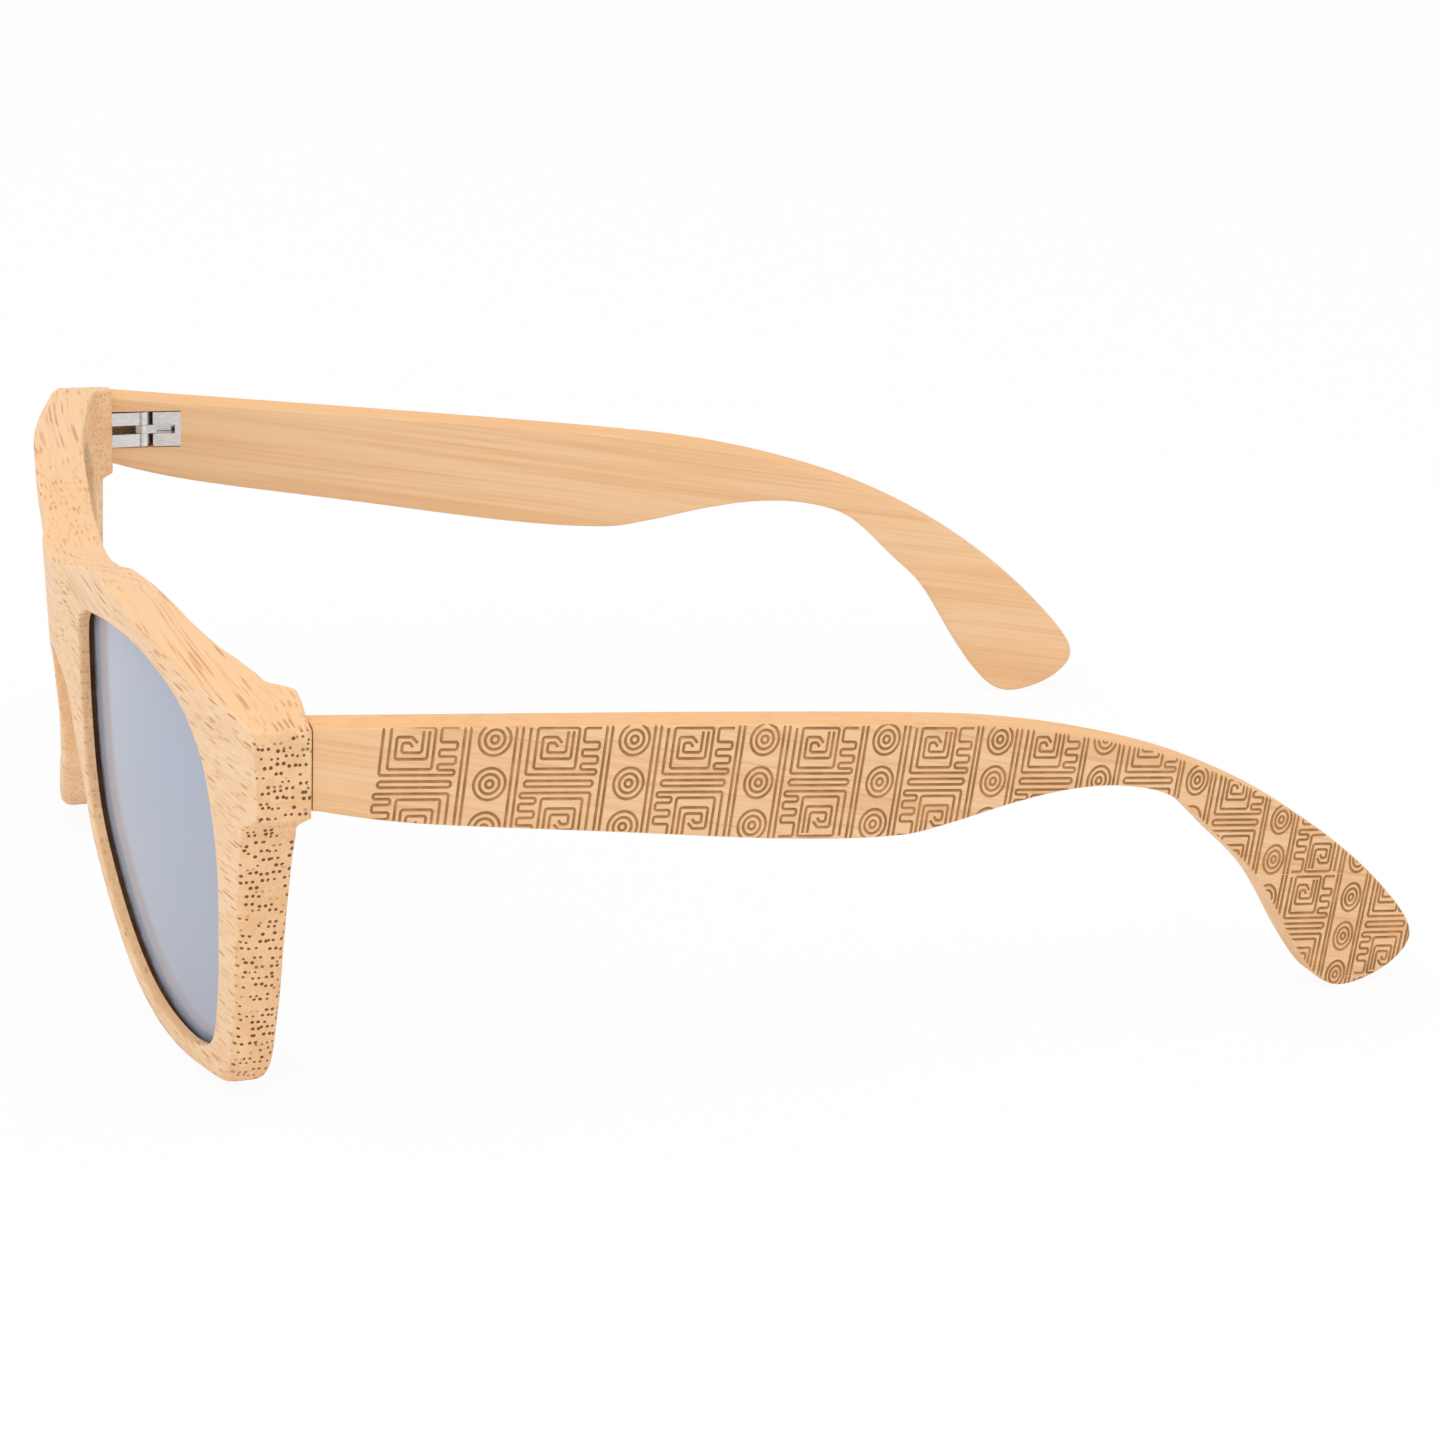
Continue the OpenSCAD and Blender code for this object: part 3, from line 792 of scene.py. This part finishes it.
class SUNGLASSES_OT_front(bpy.types.Operator):
    """Make the wrapped bamboo front with its lens grooves and hinge recesses"""
    bl_idname = "sunglasses.front"
    bl_label = "Front"

    def execute(self, context):
        front = context.scene.sunglasses_front
        rows = front_rows(front)
        low = smooth_step(*(pivot[2] - drop for drop in LOW_ROUND_DROP), rows[0][:, 1])
        edge = front.edge_round + (front.low_round - front.edge_round) * low
        radii = [edge / MM] + [np.full(len(row), front.opening_round / MM) for row in rows[1:]]
        depth = front_depth_at(front, cad_points("lens_left"))
        groove = (depth.min() - front.groove_play / MM, depth.max(), front.groove_depth / MM)

        def place(flat, level):
            points = front_place(front, flat, level)
            points[:, 2] += brow_shift(rows[0], flat, level / front_thickness(front, flat))
            return points

        materials = [finish_named("grained_front"), finish_named("burnt_groove_and_shade")]
        made = board(rows, radii, lambda flat: front_thickness(front, flat), place, grid=1.5,
                     groove=groove, extra=block_spots(front))
        thing = new_object("bamboo_front", mesh_from("bamboo_front", *made, materials))
        cut(thing, *[self.fork_recess(front, side, materials[0]) for side in ("left", "right")])
        shade(thing)
        finish_piece(thing, "front", "bamboo_front", "front_frame")
        return {"FINISHED"}

    def fork_recess(self, front, side, wood):
        """A cutter round the fork's plate that is open at the back."""
        play, past_butt, slack = 0.05, 2, 0.01
        fork = cad_points("hinge_fork_" + side)
        plate = fork[fork[:, 1] < butt_y(front) + slack]
        low, high = plate.min(axis=0) - play, plate.max(axis=0) + play
        high[1] += past_butt
        return box_object("recess_" + side, box_corners(low, high), wood)


# Lenses and pads

class SUNGLASSES_OT_lenses(bpy.types.Operator):
    """Make the two mirror lenses in their grooves"""
    bl_idname = "sunglasses.lenses"
    bl_label = "Lenses"

    def execute(self, context):
        front = context.scene.sunglasses_front
        edge_round, seated = 0.12, 0.9
        for row in front_rows(front)[1:]:
            side = "left" if row[:, 0].mean() > 0 else "right"
            depth = front_depth_at(front, cad_points("lens_" + side))
            grown = row + into_wood(row, True) * (seated * front.groove_depth / MM)
            made = board([grown], [np.full(len(row), edge_round)],
                         lambda flat: np.full(len(flat), np.ptp(depth)),
                         lambda flat, level: front_place(front, flat, depth.min() + level), grid=2.0, turns=2)
            thing = new_object("mirror_lens_" + side, mesh_from("lens", *made, [finish_named("mirror_lens")]))
            shade(thing, 50)
            finish_piece(thing, "front", "lens", "lens_" + side)
        return {"FINISHED"}


class SUNGLASSES_OT_pads(bpy.types.Operator):
    """Make the two almond nose pads"""
    bl_idname = "sunglasses.pads"
    bl_label = "Nose pads"

    def execute(self, context):
        for side in ("left", "right"):
            mesh = frame["nodes"]["nose_pad_" + side].data.copy()
            merge_corners(mesh, SAME_PLACE)
            dress(mesh, finish_named("grained_front"))
            thing = new_object("bamboo_pad_" + side, mesh)
            remesh = thing.modifiers.new("remesh", "REMESH")
            remesh.mode = "VOXEL"
            remesh.voxel_size = 0.0002
            soft = thing.modifiers.new("soften", "SMOOTH")
            soft.factor = 0.5
            soft.iterations = 8
            apply_modifiers(thing)
            thing.data.shade_smooth()
            finish_piece(thing, "front", "bamboo_front", "nose_pad_" + side)
        return {"FINISHED"}


# Temples

def fret_lines():
    """Lines of one fret, in millimetres from its circle column's middle, and the bars beside it."""
    column, middle, width = 12.7, 6.3, 7.5
    bar_ends = (-0.71, 13.31)
    upper = [
        [(8.35, -0.4), (6.3, -0.4), (6.3, 1.3), (8.35, 1.3), (8.35, 2.2), (6.3, 2.2), (6.3, 3.0), (8.35, 3.0),
         (8.35, 3.9), (6.3, 3.9), (6.3, 4.6), (8.35, 4.6), (8.35, 5.2), (-0.5, 5.2), (-0.5, -0.4)],
        [(0.4, -0.4), (0.4, 4.5), (5.6, 4.5), (5.6, -0.4), (0.4, -0.4)],
        [(4.9, 0), (4.9, 3.3), (1.15, 3.3), (1.15, 0.7), (2.9, 0.7), (3.6, 1.4)],
        [(4.2, 0), (4.2, 2.55), (1.85, 2.55), (1.85, 1.4), (2.7, 1.4), (3.1, 1.9)]]
    lower = [[(width - u, 2 * middle - v) for u, v in line] for line in upper]
    loop = [(-0.6, middle), (-0.3, middle - 0.35), (7.9, middle - 0.35), (8.2, middle), (7.9, middle + 0.35),
            (-0.3, middle + 0.35), (-0.6, middle)]
    bars = [[(u, v) for v in bar_ends] for u in (9.05, 9.75, 15.2, 15.95)]
    return [[(u - column, middle - v) for u, v in line] for line in upper + lower + [loop] + bars]


def fret_object():
    """The fret's lines as loose edges, in metres."""
    points, edges = [], []
    for line in fret_lines():
        start = len(points)
        points += [(u * MM, v * MM, 0) for u, v in line]
        edges += [(i, i + 1) for i in range(start, len(points) - 1)]
    mesh = bpy.data.meshes.new("fret")
    mesh.from_pydata(points, edges, [])
    merge_corners(mesh, 1e-6)
    return new_object("fret", mesh)


# Sizes for the engraving's tree: the input's name, its kind and its setting
ENGRAVING_SIZES = (
    ("Columns", "Int", "columns"), ("Period", "Float", "period"), ("Shrink", "Float", "shrink"),
    ("Circle Rows", "Int", "ring_rows"), ("Circle Gap", "Float", "ring_gap"),
    ("Circle Radius", "Float", "ring_radius"), ("Fret Rows", "Int", "fret_rows"),
    ("Fret Gap", "Float", "fret_gap"), ("Tip Shift", "Float", "tip_shift"),
    ("Line Width", "Float", "line_width"))


def column_points(tree, given, rows, gap, top_rows):
    """Points in columns whose distance shrinks, and rows downwards, with each point's width share."""
    grid = add(tree, "GeometryNodeMeshGrid", {"Vertices X": given["Columns"], "Vertices Y": given[rows]})
    index = add(tree, "GeometryNodeInputIndex").outputs[0]
    column = calc("FLOOR", calc("DIVIDE", index, given[rows]))
    row = calc("SUBTRACT", index, product(column, given[rows]))
    before = product(column, calc("SUBTRACT", column, 1.0))
    u = calc("SUBTRACT", product(column, given["Period"]), product(before, given["Shrink"], 0.5))
    v = product(calc("SUBTRACT", top_rows, row), given[gap])
    if rows == "Fret Rows":
        last_before_tip = 6.5
        tip = calc("GREATER_THAN", column, last_before_tip)
        v = calc("SUBTRACT", v, product(tip, given["Tip Shift"]))
    points = add(tree, "GeometryNodeSetPosition", {
        "Geometry": grid.outputs["Mesh"], "Position": combine(u, v)})
    lost = calc("DIVIDE", product(column, given["Shrink"]), given["Period"])
    return points.outputs["Geometry"], combine(calc("SUBTRACT", 1.0, lost), 1.0, 1.0)


def copies(tree, points, shape, scale):
    """Copies of a shape on points, as one geometry."""
    placed = add(tree, "GeometryNodeInstanceOnPoints", {"Points": points, "Instance": shape, "Scale": scale})
    return add(tree, "GeometryNodeRealizeInstances", {"Geometry": placed.outputs[0]}).outputs[0]


def engraving_tree():
    """Geometry Nodes that set frets and circles out along the temple and turn them into cutters."""
    tree = bpy.data.node_groups.new("engraved_lines", "GeometryNodeTree")
    sizes = [(name, kind) for name, kind, _ in ENGRAVING_SIZES]
    for name, kind in sizes + [("Fret", "Object"), ("Material", "Material")]:
        tree.interface.new_socket(name, in_out="INPUT", socket_type="NodeSocket" + kind)
    tree.interface.new_socket("Geometry", in_out="OUTPUT", socket_type="NodeSocketGeometry")
    given = add(tree, "NodeGroupInput").outputs
    shapes = add(tree, "GeometryNodeJoinGeometry")
    fret = add(tree, "GeometryNodeObjectInfo", {"Object": given["Fret"]})
    points, scale = column_points(tree, given, "Fret Rows", "Fret Gap", 0.0)
    frets = copies(tree, points, fret.outputs["Geometry"], scale)
    lines = add(tree, "GeometryNodeMeshToCurve", {"Mesh": frets})
    lines = add(tree, "GeometryNodeFilletCurve", {
        "Curve": lines.outputs[0], "Radius": product(given["Line Width"], 0.7), "Count": 3}, mode="POLY")
    feed(shapes.inputs[0], lines.outputs[0])
    points, scale = column_points(tree, given, "Circle Rows", "Circle Gap", 1.0)
    ring_shares = (1.0, 0.62, 0.24)
    for share in ring_shares:
        circle = add(tree, "GeometryNodeCurvePrimitiveCircle", {
            "Resolution": 24, "Radius": product(given["Circle Radius"], share)})
        feed(shapes.inputs[0], copies(tree, points, circle.outputs[0], scale))
    profile = add(tree, "GeometryNodeCurvePrimitiveCircle", {
        "Resolution": 4, "Radius": product(given["Line Width"], 0.5)})
    strips = add(tree, "GeometryNodeCurveToMesh", {
        "Curve": shapes.outputs[0], "Profile Curve": profile.outputs[0], "Fill Caps": True})
    whole = add(tree, "GeometryNodeRealizeInstances", {"Geometry": strips.outputs[0]})
    painted = add(tree, "GeometryNodeSetMaterial", {
        "Geometry": whole.outputs[0], "Material": given["Material"]})
    add(tree, "NodeGroupOutput", {0: painted.outputs[0]})
    return tree


def engraving_mesh(temples):
    """The engraved lines of a temple as closed strips, flat in metres from the first circle's middle."""
    fret = fret_object()
    carrier = new_object("engraving", bpy.data.meshes.new("engraving"))
    step = carrier.modifiers.new("engraving", "NODES")
    step.node_group = engraving_tree()
    values = {name: getattr(temples, setting) for name, _, setting in ENGRAVING_SIZES}
    values.update({"Fret": fret, "Material": finish_named("burnt_line")})
    for item in step.node_group.interface.items_tree:
        if item.in_out == "INPUT":
            step[item.identifier] = values[item.name]
    mesh = plain_mesh(carrier)
    bpy.data.objects.remove(carrier)
    bpy.data.objects.remove(fret)
    return mesh


def temple_outline():
    """Outline of the left temple's outer face, run on a little past the end piece."""
    run_on, top_slope, slack, step = 3.0, 0.097, 0.01, 0.7
    local = temple_frame(cad_points("temple_left"))
    outer = local[:, 0].max()
    border = face_borders("temple_left", lambda p: np.abs(temple_frame(p)[:, 0] - outer) < slack)[0]
    row = temple_frame(border)[:, 1:]
    ends = row[:, 0] < row[:, 0].min() + 0.05
    slope = np.where(row[:, 1] > 0, top_slope, 0.0)
    row[ends, 1] += run_on * slope[ends]
    row[ends, 0] -= run_on
    return smooth_row(row, step), outer, np.ptp(local[:, 0])


def pocket_corners(temples):
    """Corners of the hinge's pocket in the left temple, open inwards and forwards."""
    inwards, forwards, slack = 3, 15, 0.01
    housing = temple_frame(cad_points("spring_housing_left"))
    inner, outer = housing[:, 0].min(), housing[:, 0].max()
    back = housing[housing[:, 0] < inner + slack, 1].max()
    play = temples.pocket_play / MM
    return temple_place(box_corners((inner - inwards, -forwards, housing[:, 2].min() - play),
                                    (outer, back, housing[:, 2].max() + play)))


def run_on_corners():
    """Corners of a box round what runs on past the left temple's butt plane."""
    ahead, below, above = 30, 5, 9
    return box_corners((0, temple_low[1] - ahead, temple_low[2] - below),
                       (2 * half_width, temple_low[1], temple_high[2] + above))


def engraving_cutter(temples, mesh, outer, mirrored):
    """A temple's engraving as a cutter on its outer face."""
    flat = np.array([v.co for v in mesh.vertices]) / MM
    turn = temples.pattern_slope
    s = temples.pattern_start / MM + flat[:, 0] * math.cos(turn) + flat[:, 1] * math.sin(turn)
    z = temples.pattern_height / MM - flat[:, 0] * math.sin(turn) + flat[:, 1] * math.cos(turn)
    points = temple_place(np.stack([outer + flat[:, 2], s, z], axis=1))
    faces = [tuple(p.vertices) for p in mesh.polygons]
    made = mesh_from("cutter", points, faces, [0] * len(faces), [finish_named("burnt_line")], mirrored)
    return new_object("cutter", made)


class SUNGLASSES_OT_temples(bpy.types.Operator):
    """Make the two bamboo temples with their hinge pockets and burnt engraving"""
    bl_idname = "sunglasses.temples"
    bl_label = "Temples"

    def execute(self, context):
        temples = context.scene.sunglasses_temples
        row, outer, thick = temple_outline()

        def place(flat, level):
            return temple_place(np.stack([outer - level, flat[:, 0], flat[:, 1]], axis=1))

        made = board([row], [np.full(len(row), temples.edge_round / MM)],
                     lambda flat: np.full(len(flat), thick), place, grid=3.0, turns=4, wall_rows=3)
        lines = engraving_mesh(temples)
        for side, mirrored in (("left", False), ("right", True)):
            wood = finish_named("grained_" + side)
            thing = new_object("bamboo_temple_" + side, mesh_from(
                "temple", *made, [wood, finish_named("burnt_line")], mirrored))
            cut(thing, box_object("butt", run_on_corners(), wood, mirrored),
                box_object("pocket", pocket_corners(temples), wood, mirrored),
                engraving_cutter(temples, lines, outer, mirrored))
            shade(thing)
            finish_piece(thing, "arm_" + side, "bamboo_temple", "temple_" + side)
        return {"FINISHED"}


# Hinges

HINGE_NODES = (
    "hinge_fork", "fork_screws", "pivot_screw", "hinge_slider", "spring_housing", "spring", "stop_nut")


class SUNGLASSES_OT_hinges(bpy.types.Operator):
    """Give the hinge parts their satin steel"""
    bl_idname = "sunglasses.hinges"
    bl_label = "Hinges"

    def execute(self, context):
        steel = finish_named("satin_steel")
        for kind in HINGE_NODES:
            for side in ("left", "right"):
                dress(frame["nodes"][kind + "_" + side].data, steel)
        return {"FINISHED"}


# Stage

def camera_matrix(stage):
    """Place and axes of the photograph's camera."""
    azimuth, elevation, roll = stage.azimuth, stage.elevation, stage.roll
    back = Vector((math.sin(azimuth) * math.cos(elevation), -math.cos(azimuth) * math.cos(elevation),
                   math.sin(elevation)))
    level = Vector((math.cos(azimuth), math.sin(azimuth), 0))
    upright = back.cross(level)
    right = math.cos(roll) * level + math.sin(roll) * upright
    up = math.cos(roll) * upright - math.sin(roll) * level
    matrix = Matrix((right, up, back)).transposed().to_4x4()
    matrix.translation = Vector(pivot * MM) + Vector(stage.camera_place)
    return matrix


class SUNGLASSES_OT_stage(bpy.types.Operator):
    """Set the floor, the light and the camera"""
    bl_idname = "sunglasses.stage"
    bl_label = "Stage"

    def execute(self, context):
        stage = context.scene.sunglasses_stage
        scene = context.scene
        scene.view_settings.view_transform = "Standard"
        data = bpy.data.cameras.new("camera")
        data.lens = stage.lens
        data.sensor_width = 36
        data.clip_start = 0.01
        scene.camera = new_object("camera", data)
        scene.camera.matrix_world = camera_matrix(stage)
        self.white_world(scene, stage)
        self.floor()
        self.key_light(stage)
        return {"FINISHED"}

    def white_world(self, scene, stage):
        """White where it is seen, and a plain even light elsewhere."""
        world = bpy.data.worlds.new("white")
        world.use_nodes = True
        scene.world = world
        tree = world.node_tree
        path = add(tree, "ShaderNodeLightPath")
        seen = calc("MAXIMUM", path.outputs["Is Camera Ray"], calc(
            "MAXIMUM", path.outputs["Is Glossy Ray"], path.outputs["Is Transmission Ray"]))
        strength = ramp(seen, 0.0, 1.0, stage.world_light, 1.0)
        set_inputs(tree.nodes["Background"], {"Color": (1, 1, 1, 1), "Strength": strength})

    def floor(self):
        """A pale floor that keeps a soft shadow."""
        size, whiteness = 4.0, 0.93
        material = bpy.data.materials.new("floor")
        material.use_nodes = True
        tree = material.node_tree
        tree.nodes.clear()
        path = add(tree, "ShaderNodeLightPath")
        pale = add(tree, "ShaderNodeBsdfDiffuse", {"Color": (0.9, 0.9, 0.9, 1)})
        white = add(tree, "ShaderNodeEmission", {"Color": (1, 1, 1, 1), "Strength": 1.0})
        share = product(path.outputs["Is Camera Ray"], whiteness)
        surface = add(tree, "ShaderNodeMixShader", {0: share, 1: pale.outputs[0], 2: white.outputs[0]})
        add(tree, "ShaderNodeOutputMaterial", {"Surface": surface.outputs[0]})
        corners = [(-size, -size, 0), (size, -size, 0), (size, size, 0), (-size, size, 0)]
        mesh = bpy.data.meshes.new("floor")
        mesh.from_pydata(corners, [], [(0, 1, 2, 3)])
        mesh.materials.append(material)
        new_object("floor", mesh)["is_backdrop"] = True

    def key_light(self, stage):
        """One large soft light above and in front."""
        data = bpy.data.lights.new("key", "AREA")
        data.shape = "DISK"
        data.size = 0.7
        data.energy = stage.key_power
        lamp = new_object("key", data)
        lamp.location = (0.2, -0.25, 0.75)
        lamp.rotation_euler = (Vector((0, 0, 0.02)) - lamp.location).to_track_quat("-Z", "Y").to_euler()


class SUNGLASSES_PT_panel(bpy.types.Panel):
    """Sizes, colours and the making of the pieces"""
    bl_label = "Wooden sunglasses"
    bl_space_type = "VIEW_3D"
    bl_region_type = "UI"
    bl_category = "Sunglasses"

    def draw(self, context):
        for operator in OPERATORS:
            self.layout.operator(operator.bl_idname)
        for name, group in SETTINGS.items():
            box = self.layout.box()
            box.label(text=group.__doc__)
            for key in group.__annotations__:
                box.prop(getattr(context.scene, name), key)


SETTINGS = {
    "sunglasses_front": FrontSettings,
    "sunglasses_temples": TempleSettings,
    "sunglasses_finish": FinishSettings,
    "sunglasses_stage": StageSettings,
}
OPERATORS = (SUNGLASSES_OT_stage, SUNGLASSES_OT_front, SUNGLASSES_OT_lenses, SUNGLASSES_OT_pads,
             SUNGLASSES_OT_temples, SUNGLASSES_OT_hinges)
CLASSES = (*SETTINGS.values(), *OPERATORS, SUNGLASSES_PT_panel)


def register():
    for cls in CLASSES:
        bpy.utils.register_class(cls)
    for name, group in SETTINGS.items():
        setattr(bpy.types.Scene, name, PointerProperty(type=group))


def unregister():
    for name in SETTINGS:
        delattr(bpy.types.Scene, name)
    for cls in reversed(CLASSES):
        bpy.utils.unregister_class(cls)


def main():
    register()
    bpy.ops.sunglasses.stage()
    bpy.ops.sunglasses.front()
    bpy.ops.sunglasses.lenses()
    bpy.ops.sunglasses.pads()
    bpy.ops.sunglasses.temples()
    bpy.ops.sunglasses.hinges()
    boxes = {"cad": cad_box, "visual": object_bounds()}
    plain = {name: [list(map(float, corner)) for corner in box] for name, box in boxes.items()}


if __name__ == "__main__":
    main()
